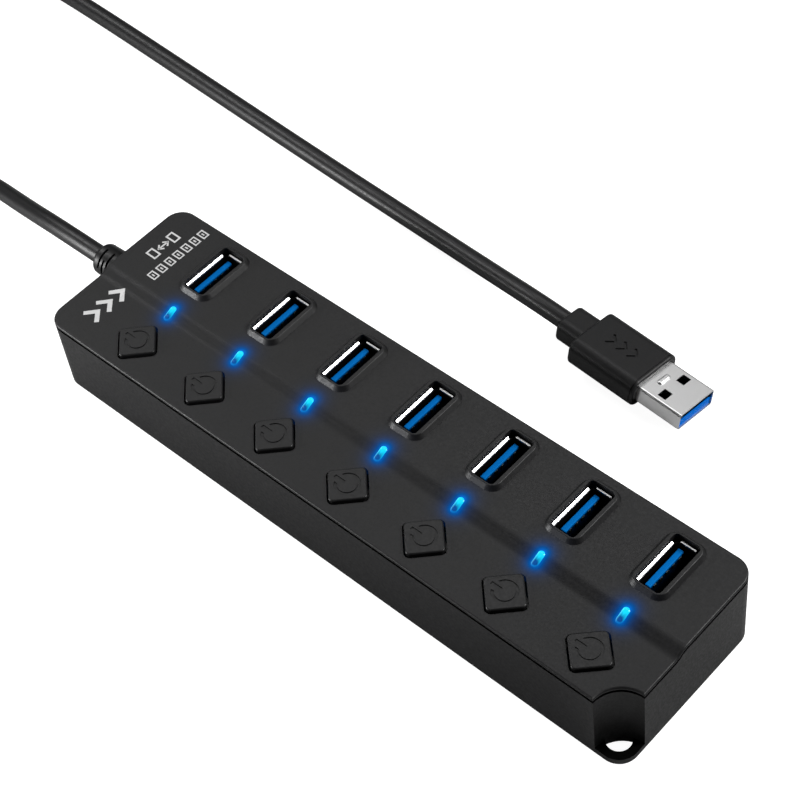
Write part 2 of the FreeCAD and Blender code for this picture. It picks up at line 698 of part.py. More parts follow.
def make_strain_relief():
    end = "-dims.hub_length / 2"
    barrel = doc.addObject("Part::Cone", "relief_barrel")
    barrel.setExpression("Radius1", "dims.relief_tip_radius")
    barrel.setExpression("Radius2", "dims.relief_radius")
    barrel.setExpression("Height", "dims.relief_length")
    barrel.Placement = Placement(Vector(), Rotation(Vector(0, 1, 0), 90))
    move(barrel, end + " - dims.relief_length", "dims.cord_row", "dims.cord_height")
    doc.recompute()
    tip = doc.addObject("Part::Fillet", "relief_tip")
    tip.Base = barrel
    tip_x = size(end + " - dims.relief_length")
    ends = [number for number, edge in enumerate(barrel.Shape.Edges, start=1)
            if abs(edge.BoundBox.XMin - tip_x) < 1e-3 and abs(edge.BoundBox.XMax - tip_x) < 1e-3]
    tip.Edges = [(number, 1.0, 1.0) for number in ends]
    neck = cylinder("relief_neck", "dims.relief_neck_radius", "dims.wall + 2.4", end, "dims.cord_row",
                    "dims.cord_height", "x")
    flange = cylinder("relief_flange", "dims.relief_radius + 0.6", "1.5", end + " + dims.wall",
                      "dims.cord_row", "dims.cord_height", "x")
    slots = [relief_slot(index, end + " - dims.slot_first - %d * dims.slot_pitch" % index)
             for index in range(6)]
    finish(cut("relief", join("relief_blank", tip, neck, flange), *slots), "strain_relief")


def tube(points, diameter, name):
    """A bar of round section along straight runs joined by tangent arcs, as large as the runs allow."""
    points = [Vector(*point) for point in points]
    runs = [(b - a).Length for a, b in zip(points, points[1:])]
    edges, last, radii = [], points[0], []
    for index in range(1, len(points) - 1):
        corner = points[index]
        before = (points[index - 1] - corner).normalize()
        after = (points[index + 1] - corner).normalize()
        reach = 0.45 * min(runs[index - 1], runs[index])
        turn = math.pi - before.getAngle(after)
        radius = reach / math.tan(turn / 2)
        radii.append(radius)
        middle_line = (before + after).normalize()
        rise = radius / math.cos(turn / 2) - radius
        start, end = corner + before * reach, corner + after * reach
        edges.append(Part.LineSegment(last, start).toShape())
        edges.append(Part.Arc(start, corner + middle_line * rise, end).toShape())
        last = end
    edges.append(Part.LineSegment(last, points[-1]).toShape())
    path = Part.Wire(edges)
    section = Part.Wire(Part.Circle(points[0], points[1] - points[0], diameter / 2).toShape())
    shape = path.makePipeShell([section], True, False)
    expected = math.pi * diameter ** 2 / 4 * path.Length
    print("%s: length %.1f, volume ratio %.4f, radii %s"
          % (name, path.Length, shape.Volume / expected, " ".join("%.0f" % r for r in radii)))
    item = doc.addObject("Part::Feature", name + "_sweep")
    item.Shape = shape
    return item


def plug_turn():
    """How the plug lies: turned in plan, tipped down at its front and rolled."""
    yaw = Rotation(Vector(0, 0, 1), size("dims.plug_yaw"))
    pitch = Rotation(Vector(0, 1, 0), size("dims.plug_pitch"))
    return yaw * pitch * Rotation(Vector(1, 0, 0), size("dims.plug_roll"))


def plug_place(along):
    """The point on the plug's own axis at a distance from the front of its grip."""
    front = Vector(size("dims.plug_x"), size("dims.plug_y"), size("dims.plug_height"))
    return front + plug_turn().multVec(Vector(along, 0, 0))


def make_cord():
    width, lying = size("dims.cord_width"), size("dims.cord_width / 2") + 0.05
    # out of the strain relief, down to the surface and on to the storage coil
    hub_end = [
        (size("-dims.hub_length / 2 - dims.relief_length"), 4.5, 11.5),
        (-109.0, 4.5, 11.5),
        (-126.0, 6.3, 7.4),
        (-145.0, 8.6, 3.2),
        (-167.0, 6.0, lying),
        (-190.0, 1.2, lying),
        (-211.0, -1.3, lying),
    ]
    finish(tube(hub_end, width, "cord_hub_end"), "cord_hub_end")
    # off the coil and straight past the ports side of the hub to the plug
    plug_end = [
        (-234.5, 46.5, 6.0),
        (-225.0, 56.0, 3.6),
        (-214.0, 65.5, lying),
        (-197.0, 70.8, lying),
        (-172.0, 70.3, lying),
        (-130.0, 68.1, lying),
        (-82.0, 65.4, lying),
        (-38.0, 63.15, 2.8),
        (-19.3, 61.3, 4.4),
        tuple(plug_place(-size("dims.grip_length + dims.neck_length + dims.cord_lead"))),
        tuple(plug_place(-size("dims.grip_length + dims.neck_length"))),
    ]
    finish(tube(plug_end, width, "cord_plug_end"), "cord_plug_end")
    outer = "dims.coil_radius + dims.cord_width / 2"
    inner = "dims.coil_radius - dims.coil_nest - dims.cord_width / 2"
    finish(ring("coil", outer, inner, "dims.coil_top", "dims.coil_x", "dims.coil_y"), "cord_coil")
    # hook-and-loop tie round the coil, on the side away from the hub
    section = "dims.coil_nest + dims.cord_width"
    middle = "dims.coil_x - dims.coil_radius + dims.coil_nest / 2"
    sleeve = box("tie_sleeve", section + " + 2 * dims.tie_thick", "dims.tie_width",
                 "dims.coil_top + dims.tie_thick", middle, "dims.coil_y", "0")
    room = box("tie_room", section, "dims.tie_width + 2", "dims.coil_top - dims.tie_thick", middle,
               "dims.coil_y", "dims.tie_thick")
    finish(cut("tie", sleeve, room), "cord_tie")


# ---------------------------------------------------------------- plug

def along_x(name, length, width, thick, radius, start):
    """A bar along X with a rounded rectangular section, centred on the X axis."""
    body = doc.addObject("PartDesign::Body", name)
    sketch = new_sketch(body, name + "_outline", "YZ_Plane")
    rounded_outline(sketch, width, thick, radius)
    pad = body.newObject("PartDesign::Pad", name + "_pad")
    pad.Profile = sketch
    pad.setExpression("Length", str(length))
    return move(body, start)


def round_ends(item, name, radius, *planes):
    """Round the edges that lie in the given planes across X."""
    doc.recompute()
    rounded = doc.addObject("Part::Fillet", name)
    rounded.Base = item
    chosen = []
    for number, edge in enumerate(item.Shape.Edges, start=1):
        bounds = edge.BoundBox
        if any(abs(bounds.XMin - x) < 1e-3 and abs(bounds.XMax - x) < 1e-3 for x in planes):
            chosen.append((number, radius, radius))
    rounded.Edges = chosen
    return rounded


def seat_plug(item, node):
    """Put a piece that was made along the X axis where the plug lies."""
    item.Placement = Placement(Vector(), plug_turn())
    return finish(move(item, "dims.plug_x", "dims.plug_y", "dims.plug_height"), node)


def bar(name, start, end, width, height, bottom):
    """A flat bar that lies in plan from one point to another."""
    run = Vector(end[0] - start[0], end[1] - start[1], 0)
    turn = Rotation(Vector(1, 0, 0), run)
    item = doc.addObject("Part::Box", name)
    item.Length, item.Width, item.Height = run.Length, width, height
    item.Placement = Placement(Vector(*start, bottom) - turn.multVec(Vector(0, width / 2, 0)), turn)
    return item


def grip_mark():
    """Cutters for three plain chevrons sunk into the grip's top, pointing at the shell."""
    reach, line = size("dims.mark_reach"), size("dims.mark_line")
    bottom = size("dims.grip_thick / 2 - dims.mark_deep")
    cutters = []
    for row in range(3):
        tip = size("-dims.mark_start - %d * dims.mark_pitch" % row)
        for side in (-1, 1):
            cutters.append(bar("mark_%d_%d" % (row, side), (tip, 0), (tip - reach, side * reach), line, 1,
                               bottom))
    return cutters


def make_plug():
    inner_width = "dims.plug_shell_width - 2 * dims.plug_shell_wall"
    inner_thick = "dims.plug_shell_thick - 2 * dims.plug_shell_wall"
    shell_length = "dims.plug_shell_out + dims.plug_shell_in"
    grip = along_x("grip_block", "dims.grip_length", "dims.grip_width", "dims.grip_thick", "dims.grip_round",
                   "-dims.grip_length")
    grip = round_ends(grip, "grip_rounded", 0.7, -size("dims.grip_length"), 0.0)
    neck = along_x("neck_block", "dims.neck_length + 2", "dims.neck_width", "dims.neck_thick", "2.2",
                   "-dims.grip_length - dims.neck_length")
    neck = round_ends(neck, "neck_rounded", 0.8, -size("dims.grip_length + dims.neck_length"))
    seat = along_x("grip_seat", "dims.plug_shell_in + 1", "dims.plug_shell_width", "dims.plug_shell_thick",
                   "0.6", "-dims.plug_shell_in")
    line = cut("grip_line",
               along_x("line_block", "dims.line_width", "dims.grip_width + 2", "dims.grip_thick + 2", "1",
                       "-dims.line_back"),
               along_x("line_core", "dims.line_width", "dims.grip_width - 2 * dims.line_deep",
                       "dims.grip_thick - 2 * dims.line_deep", "dims.grip_round - dims.line_deep",
                       "-dims.line_back"))
    seat_plug(cut("overmould", join("overmould_blank", grip, neck), seat, line, *grip_mark()),
              "plug_overmould")

    sleeve = along_x("plug_sleeve", shell_length, "dims.plug_shell_width", "dims.plug_shell_thick", "0.6",
                     "-dims.plug_shell_in")
    bore = along_x("plug_bore", shell_length + " + 2", inner_width, inner_thick, "0.3",
                   "-dims.plug_shell_in - 1")
    windows = [box("window_%d" % side, "dims.window_length", "dims.window_width", "10",
                   "dims.window_place", "%d * dims.window_row" % side, "-5")
               for side in (-1, 1)]
    dimple_height = "dims.dimple_proud + 0.15"
    dimple = rounded_block("dimple_blank", "dims.dimple_width", "dims.dimple_length",
                           "dims.dimple_width / 2 - 0.01", dimple_height, "dims.dimple_place", "0",
                           "dims.plug_shell_thick / 2 - 0.15")
    round_top(dimple, "0.45", dimple_height)
    seat_plug(join("plug_shell_solid", cut("plug_tube", sleeve, bore, *windows), dimple), "plug_shell")

    insert = box("insert_blade", shell_length + " - dims.insert_recess", inner_width,
                 "dims.insert_thick", "(%s - dims.insert_recess) / 2 - dims.plug_shell_in" % shell_length,
                 "0", "-(%s) / 2" % inner_thick)
    stop = box("insert_stop", "4.0", inner_width, inner_thick, "2.0 - dims.plug_shell_in", "0",
               "-(%s) / 2" % inner_thick)
    seat_plug(join("insert", insert, stop), "plug_insulator")

    strips = []
    face = "-(%s) / 2 + dims.insert_thick" % inner_thick
    for index, y in enumerate((-3.5, -1.0, 1.0, 3.5)):
        strips.append(box("strip_%d" % index, "8.0", "1.0", "0.15", "dims.plug_shell_out - 5.4", str(y),
                          face))
    for index in range(5):
        strips.append(box("fast_strip_%d" % index, "1.2", "0.8", "0.25", "0.6", "%d * 2" % (index - 2),
                          face))
    seat_plug(group("strips", strips), "plug_contacts")


# ---------------------------------------------------------------- build, check and write

make_top_cover()
make_bottom_case()
make_feet()
make_screws()
make_board()
make_ports()
make_buttons()
make_lenses()
make_strain_relief()
make_cord()
make_plug()
doc.recompute()

failed = [item.Name for item in doc.Objects if set(item.State) & {"Invalid", "Error"}]
if failed:
    raise RuntimeError("these objects failed: " + ", ".join(failed))
for item in finished:
    if item.Shape.isNull() or not item.Shape.isValid() or not item.Shape.Solids:
        raise RuntimeError(item.Label + " is not a valid solid")

os.makedirs("parts", exist_ok=True)
for item in finished:
    item.Shape.exportStep("parts/%s.step" % item.Label)
    print("%-20s solids %3d volume %9.1f" % (item.Label, len(item.Shape.Solids), item.Shape.Volume))
print(len(finished), "nodes")
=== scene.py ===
"""The looks of a USB hub with seven switched sockets, its lead and its plug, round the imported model.

Everything is in metres in the row's frame: +X from the cord end to the lanyard end, +Y from the
buttons to the sockets, +Z up.
"""
import json
import math

import bmesh
import bpy
from mathutils import Matrix, Vector


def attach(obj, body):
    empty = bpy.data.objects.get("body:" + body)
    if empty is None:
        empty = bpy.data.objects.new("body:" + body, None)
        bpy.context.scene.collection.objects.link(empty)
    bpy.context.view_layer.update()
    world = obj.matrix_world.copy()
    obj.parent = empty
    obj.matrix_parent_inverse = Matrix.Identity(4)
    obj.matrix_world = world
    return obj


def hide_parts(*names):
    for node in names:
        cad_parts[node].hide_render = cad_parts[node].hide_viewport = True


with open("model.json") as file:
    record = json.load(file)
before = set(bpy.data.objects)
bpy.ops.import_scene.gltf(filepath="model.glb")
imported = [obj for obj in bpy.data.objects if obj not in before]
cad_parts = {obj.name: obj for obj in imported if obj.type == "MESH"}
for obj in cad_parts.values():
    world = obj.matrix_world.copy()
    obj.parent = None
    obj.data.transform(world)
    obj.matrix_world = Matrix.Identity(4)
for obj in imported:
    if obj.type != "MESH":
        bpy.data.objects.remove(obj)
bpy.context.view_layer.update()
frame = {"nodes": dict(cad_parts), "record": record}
nodes = frame["nodes"]
scene = bpy.context.scene

MM = 0.001
HUB = "hub"
PORTS = range(1, 8)

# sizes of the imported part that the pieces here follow, in mm and degrees
PORT_FIRST, PORT_PITCH = -60.3, 21.45
LOW_TOP, STEP_RISE, STEP_START, STEP_END = 21.1, 1.1, -5.2, -1.2
LENS_ROW, LENS_WIDTH, LENS_DEPTH, LENS_PROUD = -3.3, 1.5, 3.6, 0.35
CORD_WIDTH = 4.6
COIL_CENTRE, COIL_RADIUS, COIL_NEST, COIL_TOP = (-214.5, 26.5), 28.0, 2.4, 8.6
TIE_WIDTH, TIE_THICK = 10.0, 0.8
COIL_START, COIL_TURNED, COIL_STEPS = -90.0, 495.0, 16
COIL_CLIMB_FROM, COIL_CLIMB_OVER, COIL_CLIMB = 255.0, 60.0, 3.95
PLUG_FRONT, PLUG_YAW, PLUG_PITCH, PLUG_ROLL = (28.43, 58.23, 4.55), -2.2, 3.0, -9.0
SHELL_OUT, SHELL_HALF, INSERT_RECESS, DIMPLE_PLACE = 12.0, 2.25, 0.35, 2.4

# the painted blue glow round each light guide on the cover: middle, width and fall in mm, and its strength
GLOW_ROW, GLOW_EDGE, GLOW_REACH, GLOW_STRENGTH = -3.0, 1.45, 0.95, 0.26

# how bright the surroundings are
FLOOR_TONE, FLOOR_GLOW, WORLD_LIGHT = 0.42, 0.95, 0.06

# the camera: place in mm, turns about its Z, X and Z in degrees, focal length and sensor in mm
CAMERA_PLACE, CAMERA_TURNS = (208.476, -175.177, 363.194), (48.714, 39.413, -8.486)
FOCAL_LENGTH, SENSOR_WIDTH = 93.03, 36.0

# the lamps: name, place, target and size in metres, and brightness
SOFTBOXES = (
    ("softbox_overhead", (-0.42, 0.38, 0.70), (0.0, 0.0, 0.02), (0.42, 0.32), 1.7),
    ("softbox_back", (-0.176, 0.414, 0.78), (0.04, 0.02, 0.02), (0.45, 0.35), 2.4),
    ("softbox_low", (-0.25, 0.708, 0.56), (0.034, 0.058, 0.01), (0.36, 0.30), 0.6),
    ("softbox_left", (-0.25, -0.26, 0.10), (-0.07, -0.01, 0.0), (0.14, 0.14), 30.0),
    ("softbox_side", (-0.55, 0.03, 0.53), (-0.10, 0.03, 0.0), (0.22, 0.16), 11.0),
    ("softbox_right", (0.38, 0.34, 0.40), (0.09, 0.02, 0.0), (0.20, 0.20), 37.0),
)

# edges sharper than this many degrees stay sharp in smooth shading
SHARP_EDGE = 35.0


def mm(*values):
    return Vector([value * MM for value in values])


def port_x(number):
    return PORT_FIRST + (number - 1) * PORT_PITCH


def surface(y):
    """Height in mm of the cover's top at y: low, an S-shaped step of two equal arcs, high."""
    run = STEP_END - STEP_START
    bend = (run ** 2 + STEP_RISE ** 2) / (4 * STEP_RISE)
    if y <= STEP_START:
        return LOW_TOP
    if y >= STEP_END:
        return LOW_TOP + STEP_RISE
    if y < STEP_START + run / 2:
        return LOW_TOP + bend - math.sqrt(bend ** 2 - (y - STEP_START) ** 2)
    return LOW_TOP + STEP_RISE - bend + math.sqrt(bend ** 2 - (y - STEP_END) ** 2)


def plug_matrix():
    """Where the plug lies: its own X runs along its axis from the front of the grip, in metres."""
    yaw, pitch, roll = [Matrix.Rotation(math.radians(degrees), 4, axis)
                        for degrees, axis in ((PLUG_YAW, "Z"), (PLUG_PITCH, "Y"), (PLUG_ROLL, "X"))]
    return Matrix.Translation(mm(*PLUG_FRONT)) @ yaw @ pitch @ roll


# ---------------------------------------------------------------- camera

def make_camera():
    data = bpy.data.cameras.new("camera")
    data.lens = FOCAL_LENGTH
    data.sensor_width = SENSOR_WIDTH
    data.clip_start = 0.01
    data.clip_end = 20.0
    camera = bpy.data.objects.new("camera", data)
    heading, tilt, roll = [Matrix.Rotation(math.radians(degrees), 4, axis)
                           for degrees, axis in zip(CAMERA_TURNS, "ZXZ")]
    camera.matrix_world = Matrix.Translation(mm(*CAMERA_PLACE)) @ heading @ tilt @ roll
    scene.collection.objects.link(camera)
    scene.camera = camera


# ---------------------------------------------------------------- mesh helpers

def new_object(name, verts, faces, material, body=HUB, smooth=True):
    """A mesh object from points in mm, riding on a body."""
    mesh = bpy.data.meshes.new(name)
    mesh.from_pydata([mm(*v) for v in verts], [], faces)
    mesh.validate()
    fixed = bmesh.new()
    fixed.from_mesh(mesh)
    bmesh.ops.recalc_face_normals(fixed, faces=fixed.faces)
    fixed.to_mesh(mesh)
    fixed.free()
    item = bpy.data.objects.new(name, mesh)
    scene.collection.objects.link(item)
    item.data.materials.append(material)
    if smooth:
        shade(item)
    if body:
        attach(item, body)
    return item


def shade(item):
    """Smooth shading that keeps sharp edges."""
    work = bmesh.new()
    work.from_mesh(item.data)
    limit = math.radians(SHARP_EDGE)
    for face in work.faces:
        face.smooth = True
    for edge in work.edges:
        edge.smooth = edge.is_manifold and edge.calc_face_angle(0.0) < limit
    work.to_mesh(item.data)
    work.free()


def rounded_section(width, height, radius, steps):
    """Points round a rectangle with round corners, centred on zero."""
    points = []
    for quarter, (side, end) in enumerate(((1, 1), (-1, 1), (-1, -1), (1, -1))):
        for step in range(steps + 1):
            angle = (quarter + step / steps) * math.pi / 2
            points.append((side * (width / 2 - radius) + radius * math.cos(angle),
                           end * (height / 2 - radius) + radius * math.sin(angle)))
    return points


def loft(rings, looped=False):
    """Points and faces of a solid through rings with the same number of points, capped or looped round."""
    verts = [point for ring in rings for point in ring]
    count = len(rings[0])
    faces = []
    for row in range(len(rings) if looped else len(rings) - 1):
        following = (row + 1) % len(rings)
        for k in range(count):
            other = (k + 1) % count
            faces.append((row * count + k, row * count + other, following * count + other,
                          following * count + k))
    if not looped:
        faces.append(tuple(range(count)))
        faces.append(tuple(range((len(rings) - 1) * count, len(rings) * count)))
    return verts, faces


def ribbon(points, width, closed):
    """Left and right points of a flat line of a given width along points in a plane, with mitred corners."""
    count = len(points)
    mitre_limit = 0.35
    sides = []
    for k in range(count):
        here = Vector(points[k])
        before = Vector(points[k - 1]) if closed or k > 0 else None
        after = Vector(points[(k + 1) % count]) if closed or k < count - 1 else None
        into = (here - before).normalized() if before else (after - here).normalized()
        out = (after - here).normalized() if after else into
        normal = Vector((-into.y - out.y, into.x + out.x)).normalized()
        reach = width / 2 / max(mitre_limit, normal.dot(Vector((-into.y, into.x))))
        sides.append((here + normal * reach, here - normal * reach))
    return sides


def stroke_solid(points, width, low, high, place, closed):
    """Points and faces of a line drawn on a surface; place(u, v, lift) gives the point in mm."""
    sides = ribbon(points, width, closed)
    verts = []
    for left, right in sides:
        for corner, lift in ((left, high), (right, high), (right, low), (left, low)):
            verts.append(place(corner.x, corner.y, lift))
    count = len(sides)
    faces = []
    for k in range(count if closed else count - 1):
        a, b = 4 * k, 4 * ((k + 1) % count)
        for side in range(4):
            other = (side + 1) % 4
            faces.append((a + side, a + other, b + other, b + side))
    if not closed:
        faces.append((0, 1, 2, 3))
        faces.append(tuple(4 * (count - 1) + side for side in range(4)))
    return verts, faces


def gather(parts):
    """Several (points, faces) pairs as one."""
    verts, faces = [], []
    for some, rows in parts:
        start = len(verts)
        verts.extend(some)
        faces.extend(tuple(start + k for k in row) for row in rows)
    return verts, faces


# ---------------------------------------------------------------- materials

def add(tree, kind, **settings):
    """A new node with some of its properties set."""
    node = tree.nodes.new(kind)
    for name, value in settings.items():
        setattr(node, name, value)
    return node


def shader_of(material):
    return next(node for node in material.node_tree.nodes if node.type == "BSDF_PRINCIPLED")


def object_place(tree):
    """The place in the object's own space, in metres."""
    return add(tree, "ShaderNodeTexCoord").outputs["Object"]


def split_axes(tree, vector):
    """The X, Y and Z sockets of a vector."""
    split = add(tree, "ShaderNodeSeparateXYZ")
    tree.links.new(vector, split.inputs[0])
    return split.outputs


def noise(tree, scale, detail, roughness):
    """A noise texture in the object's own space, with scale in features per metre."""
    texture = add(tree, "ShaderNodeTexNoise")
    texture.inputs["Scale"].default_value = scale
    texture.inputs["Detail"].default_value = detail
    texture.inputs["Roughness"].default_value = roughness
    tree.links.new(object_place(tree), texture.inputs["Vector"])
    return texture.outputs["Fac"]


def spread(tree, source, low, high, start=0.3, end=0.7):
    """Map a noise value onto a range."""
    node = add(tree, "ShaderNodeMapRange")
    node.inputs["From Min"].default_value = start
    node.inputs["From Max"].default_value = end
    node.inputs["To Min"].default_value = low
    node.inputs["To Max"].default_value = high
    tree.links.new(source, node.inputs["Value"])
    return node.outputs["Result"]


def blend_colours(tree, source, first, second):
    """Mix two colours by a factor; the first one may be a socket."""
    node = add(tree, "ShaderNodeMix", data_type="RGBA")
    low, high = [socket for socket in node.inputs if socket.type == "RGBA"]
    if isinstance(first, bpy.types.NodeSocket):
        tree.links.new(first, low)
    else:
        low.default_value = (*first, 1.0)
    high.default_value = (*second, 1.0)
    tree.links.new(source, node.inputs["Factor"])
    return next(socket for socket in node.outputs if socket.type == "RGBA")


def add_bump(material, height, distance):
    """Raise the surface by a height socket from 0 to 1 times a distance in mm."""
    tree = material.node_tree
    bump = add(tree, "ShaderNodeBump")
    bump.inputs["Distance"].default_value = distance * MM
    tree.links.new(height, bump.inputs["Height"])
    tree.links.new(bump.outputs["Normal"], shader_of(material).inputs["Normal"])


def surface_material(name, colour, roughness, metallic=0.0, specular=0.5, tone=0.15, tone_scale=60.0,
                     rough_spread=0.05, grain=3000.0, grain_depth=0.0, sheen=0.0):
    """A moulded, plated or painted surface: mottled colour, uneven gloss and a fine grain."""
    material = bpy.data.materials.new(name)
    material.use_nodes = True
    tree, shader = material.node_tree, shader_of(material)
    shader.inputs["Metallic"].default_value = metallic
    shader.inputs["Specular IOR Level"].default_value = specular
    shader.inputs["Sheen Weight"].default_value = sheen
    mottle = noise(tree, tone_scale, 3.0, 0.5)
    dark = [part * (1 - tone) for part in colour]
    light = [min(1.0, part * (1 + tone)) for part in colour]
    fine = noise(tree, grain, 2.0, 0.6)
    tree.links.new(blend_colours(tree, mottle, dark, light), shader.inputs["Base Color"])
    tree.links.new(spread(tree, fine, roughness - rough_spread, roughness + rough_spread),
                   shader.inputs["Roughness"])
    if grain_depth:
        add_bump(material, fine, grain_depth)
    return material


def calculate(tree, operation, *values):
    """A math node; each value is a number or a socket."""
    node = add(tree, "ShaderNodeMath", operation=operation)
    for place, value in zip(node.inputs, values):
        if isinstance(value, (int, float)):
            place.default_value = value
        else:
            tree.links.new(value, place)
    return node.outputs[0]


def recolour(material, factor, colour):
    """Mix a material's colour towards another one where the factor rises to 1."""
    tree, base = material.node_tree, shader_of(material).inputs["Base Color"]
    tree.links.new(blend_colours(tree, factor, base.links[0].from_socket, colour), base)


def paint_lens_glow_on_cover(material):
    """Paint the blue glow of each light guide onto the plastic round it as emission, fading within a few
    millimetres, with a blue painted reflection and the plastic's own colour darkened there.
    """
    tree, shader = material.node_tree, shader_of(material)
    across, along, _ = split_axes(tree, object_place(tree))
    first, last, half = PORT_FIRST * MM, port_x(PORTS[-1]) * MM, PORT_PITCH / 2 * MM
    straight = (LENS_DEPTH - LENS_WIDTH) / 2 * MM
    held = calculate(tree, "MINIMUM", calculate(tree, "MAXIMUM", across, first - half), last + half)
    offset = calculate(tree, "WRAP", calculate(tree, "SUBTRACT", held, first), half, -half)
    past = calculate(tree, "ABSOLUTE", calculate(tree, "SUBTRACT", along, GLOW_ROW * MM))
    beyond = calculate(tree, "MAXIMUM", calculate(tree, "SUBTRACT", past, straight), 0.0)
    square = calculate(tree, "ADD", calculate(tree, "MULTIPLY", offset, offset),
                       calculate(tree, "MULTIPLY", beyond, beyond))
    past_edge = calculate(tree, "SUBTRACT", GLOW_EDGE * MM, calculate(tree, "SQRT", square))
    fade = calculate(tree, "EXPONENT", calculate(tree, "DIVIDE", past_edge, GLOW_REACH * MM))
    painted_glow_share = calculate(tree, "MINIMUM", fade, 1.0)
    tree.links.new(calculate(tree, "MULTIPLY", fade, GLOW_STRENGTH), shader.inputs["Emission Strength"])
    shader.inputs["Emission Color"].default_value = (0.0, 0.21, 1.0, 1.0)
    # painted reflection: near the lenses the plastic's reflection is tinted blue and its colour darkened
    painted_specular_tint = blend_colours(tree, painted_glow_share, (1.0, 1.0, 1.0), (0.02, 0.55, 1.0))
    tree.links.new(painted_specular_tint, shader.inputs["Specular Tint"])
    recolour(material, painted_glow_share, (0.0, 0.003, 0.006))
    return material


def paint_shade_on_ledges(material):
    """Painted shade: darken the colour and the reflection of the faces of the lower case that look up, the
    ledge in the seam and the lanyard tab.
    """
    tree, shader = material.node_tree, shader_of(material)
    upward = split_axes(tree, add(tree, "ShaderNodeNewGeometry").outputs["Normal"])[2]
    sloping, level = 0.7, 0.95
    painted_shade_share = spread(tree, upward, 0.0, 1.0, sloping, level)
    painted_specular_tint = blend_colours(tree, painted_shade_share, (1.0, 1.0, 1.0), (0.12, 0.12, 0.12))
    tree.links.new(painted_specular_tint, shader.inputs["Specular Tint"])
    recolour(material, painted_shade_share, (0.001, 0.001, 0.001))
    return material


def paint_recess_shade(material, direction, shade_end, bright_end, dark):
    """Painted shade: mix a material's colour towards a dark one along a direction, as deep in a socket; ends
    in mm.
    """
    tree = material.node_tree
    along = add(tree, "ShaderNodeVectorMath", operation="DOT_PRODUCT")
    tree.links.new(object_place(tree), along.inputs[0])
    along.inputs[1].default_value = direction
    recolour(material, spread(tree, along.outputs["Value"], 1.0, 0.0, shade_end * MM, bright_end * MM), dark)
    return material


def lens_material():
    """Clear light guide: the lit colours are stored on the mesh, in the colour layer called glow."""
    material = surface_material("lens_cyan", (0.002, 0.06, 0.20), 0.2, specular=0.2, tone=0.1)
    tree, shader = material.node_tree, shader_of(material)
    glow = add(tree, "ShaderNodeAttribute", attribute_name="glow")
    tree.links.new(glow.outputs["Color"], shader.inputs["Emission Color"])
    shader.inputs["Emission Strength"].default_value = 1.0
    return material


def weave_material(name, colour):
    """Woven tape for the hook-and-loop tie."""
    material = surface_material(name, colour, 0.85, specular=0.2, tone=0.35, tone_scale=900.0, sheen=0.3)
    tree = material.node_tree
    place = object_place(tree)
    thread_scale, thread_wobble, thread_height = 420.0, 1.5, 0.15
    threads = []
    for direction in ("Y", "Z"):
        wave = add(tree, "ShaderNodeTexWave", bands_direction=direction)
        wave.inputs["Scale"].default_value = thread_scale
        wave.inputs["Distortion"].default_value = thread_wobble
        tree.links.new(place, wave.inputs["Vector"])
        threads.append(wave.outputs["Fac"])
    add_bump(material, calculate(tree, "MULTIPLY", *threads), thread_height)
    return material


